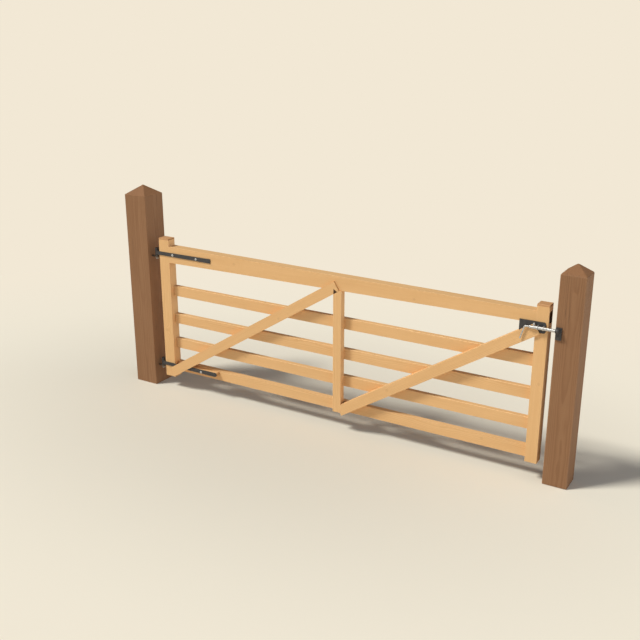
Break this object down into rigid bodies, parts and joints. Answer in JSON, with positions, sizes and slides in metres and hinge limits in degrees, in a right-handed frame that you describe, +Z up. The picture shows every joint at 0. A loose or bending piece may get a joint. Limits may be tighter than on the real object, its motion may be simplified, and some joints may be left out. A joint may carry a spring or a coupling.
{
  "type": "five-bar farm gate with its two posts",
  "caption": "Timber field gate with a tapered top rail and braces, hung on strap hinges between two square pointed posts, with a sliding bolt.",
  "frame": {"origin": "centre of the hanging post's foot, at ground level", "axes": "+Z up, +X along the closed gate towards the clashing post, -Y to the side that the gate opens to and the ironwork is on"},
  "size_m": [3.55, 0.218, 1.605],
  "materials": {
    "gate_timber": "planed softwood, oiled",
    "post_timber": "treated brown softwood",
    "ironwork": "satin black",
    "galvanised": "bright zinc"
  },
  "bodies": {
    "posts": {"hanging_post": "post_timber", "clashing_post": "post_timber", "top_hook": "galvanised", "bottom_hook": "galvanised", "hook_nuts": "galvanised", "keeper": "ironwork", "keeper_screws": "ironwork"},
    "gate": {"hanging_stile": "gate_timber", "hanging_stile_cap": "gate_timber", "slam_stile": "gate_timber", "slam_stile_cap": "gate_timber", "top_rail": "gate_timber", "second_rail": "gate_timber", "third_rail": "gate_timber", "fourth_rail": "gate_timber", "bottom_rail": "gate_timber", "centre_stile": "gate_timber", "left_brace": "gate_timber", "right_brace": "gate_timber", "top_strap": "ironwork", "bottom_strap": "ironwork", "strap_packer": "gate_timber", "top_strap_bolts": "galvanised", "bottom_strap_bolt": "galvanised", "latch_plate": "ironwork", "latch_guides": "galvanised", "latch_screws": "ironwork"},
    "bolt": {"latch_bolt": "galvanised", "latch_handle": "galvanised"}
  },
  "joints": [
    {"name": "gate_hinge", "type": "hinge", "parent": "posts", "child": "gate", "pos_m": [0.149, -0.052, 0], "axis": [0, 0, -1], "range_deg": [0, 105]},
    {"name": "bolt_slide", "type": "slide", "parent": "gate", "child": "bolt", "axis": [-1, 0, 0], "range_m": [0, 0.06]}
  ]
}
